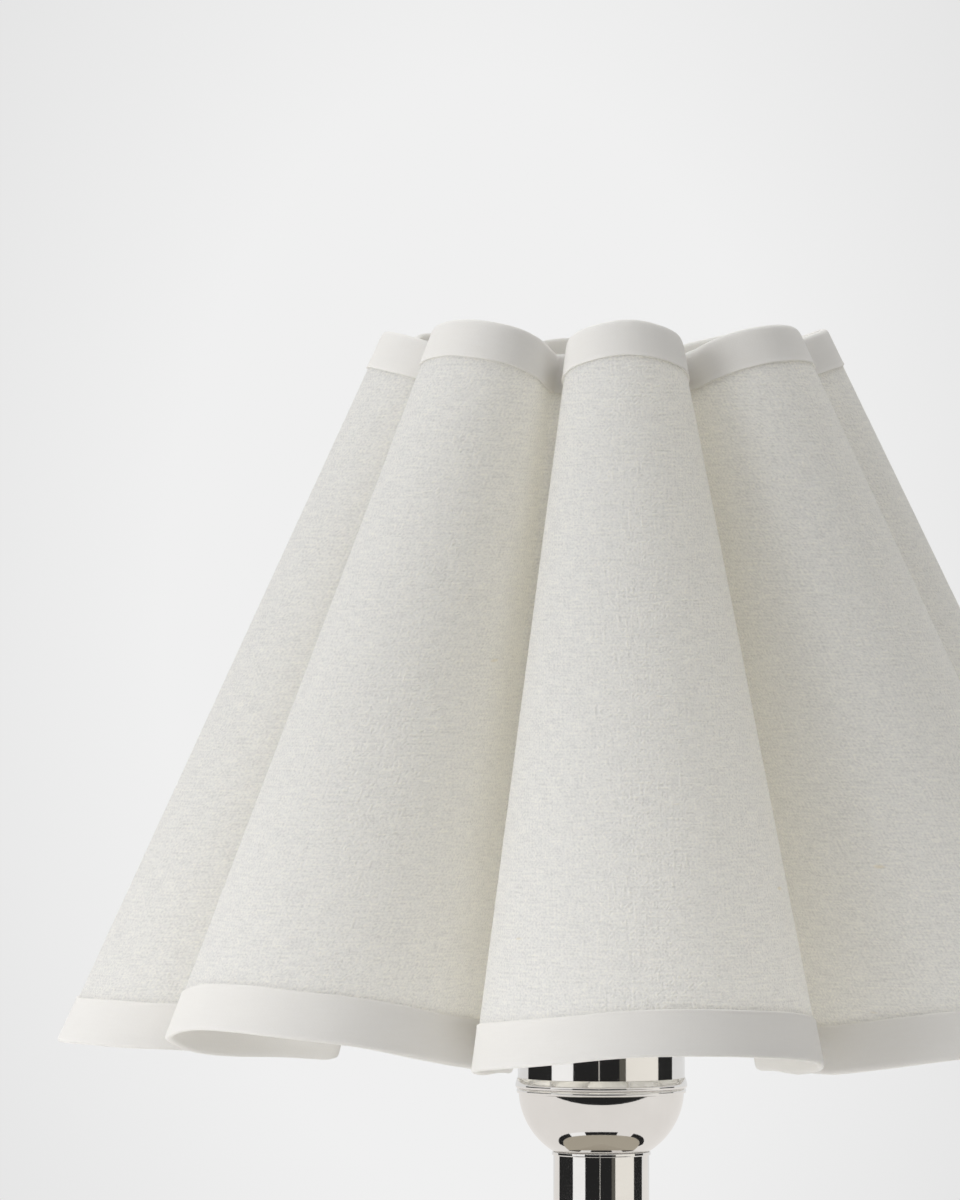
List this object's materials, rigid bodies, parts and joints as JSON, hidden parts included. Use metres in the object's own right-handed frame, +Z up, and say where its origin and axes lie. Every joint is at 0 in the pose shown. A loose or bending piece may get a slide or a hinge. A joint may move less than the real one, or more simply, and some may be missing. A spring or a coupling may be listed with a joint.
{
  "type": "candle lamp with shade",
  "caption": "Table candle lamp with a lobed linen shade, a nickel gallery with glass chimney, a tube stem with spring-fed candle and a weighted round foot.",
  "frame": {"origin": "on the table under the middle of the foot", "axes": "+Z up along the stem, -Y towards the front of the picture, +X to its right"},
  "size_m": [0.2525, 0.2601, 0.4212],
  "materials": {
    "polished_nickel": "polished nickel plate",
    "plain_steel": "plain zinc-plated steel",
    "painted_wire": "white powder coat",
    "felt": "wool felt",
    "cast_iron": "raw casting",
    "clear_glass": "clear",
    "wax": "satin candle wax",
    "cotton_wick": "braided cotton",
    "linen": "off-white linen on a stiff backing",
    "linen_binding": "folded linen tape"
  },
  "bodies": {
    "stand": {"felt_pad": "felt", "foot_plate": "plain_steel", "plate_screws": "plain_steel", "foot_weight": "cast_iron", "foot_shell": "polished_nickel", "foot_ring": "polished_nickel", "stem_nut": "plain_steel", "stem_washer": "plain_steel", "stem_bush": "plain_steel", "stem_tube": "polished_nickel", "cap_pins": "polished_nickel", "cup_ring": "polished_nickel", "gallery_cup": "polished_nickel", "gallery_bead": "polished_nickel", "gallery_collar": "polished_nickel", "gallery_deck": "plain_steel", "chimney_clips": "plain_steel", "clip_rivets": "plain_steel", "feed_spring": "plain_steel"},
    "candle": {"candle": "wax", "wick": "cotton_wick", "follower": "plain_steel"},
    "cap": {"candle_cap": "polished_nickel"},
    "chimney": {"chimney": "clear_glass"},
    "shade": {"fitter_ring": "painted_wire", "fitter_arms": "painted_wire", "frame_bottom_ring": "painted_wire", "frame_top_ring": "painted_wire", "frame_ribs": "painted_wire", "shade_panel": "linen", "shade_top_trim": "linen_binding", "shade_bottom_trim": "linen_binding"}
  },
  "joints": [
    {"name": "shade_lift", "type": "slide", "parent": "stand", "child": "shade", "axis": [0, 0, 1], "range_m": [0, 0.2]},
    {"name": "chimney_lift", "type": "slide", "parent": "stand", "child": "chimney", "axis": [0, 0, 1], "range_m": [0, 0.16]},
    {"name": "cap_twist", "type": "hinge", "parent": "stand", "child": "cap", "pos_m": [0, 0, 0.257], "axis": [0, 0, 1], "range_deg": [0, 35]},
    {"name": "candle_feed", "type": "slide", "parent": "stand", "child": "candle", "axis": [0, 0, 1], "range_m": [-0.02, 0], "stiffness_N_per_m": 120, "springref_m": 0.05, "deforming": ["feed_spring"]}
  ]
}
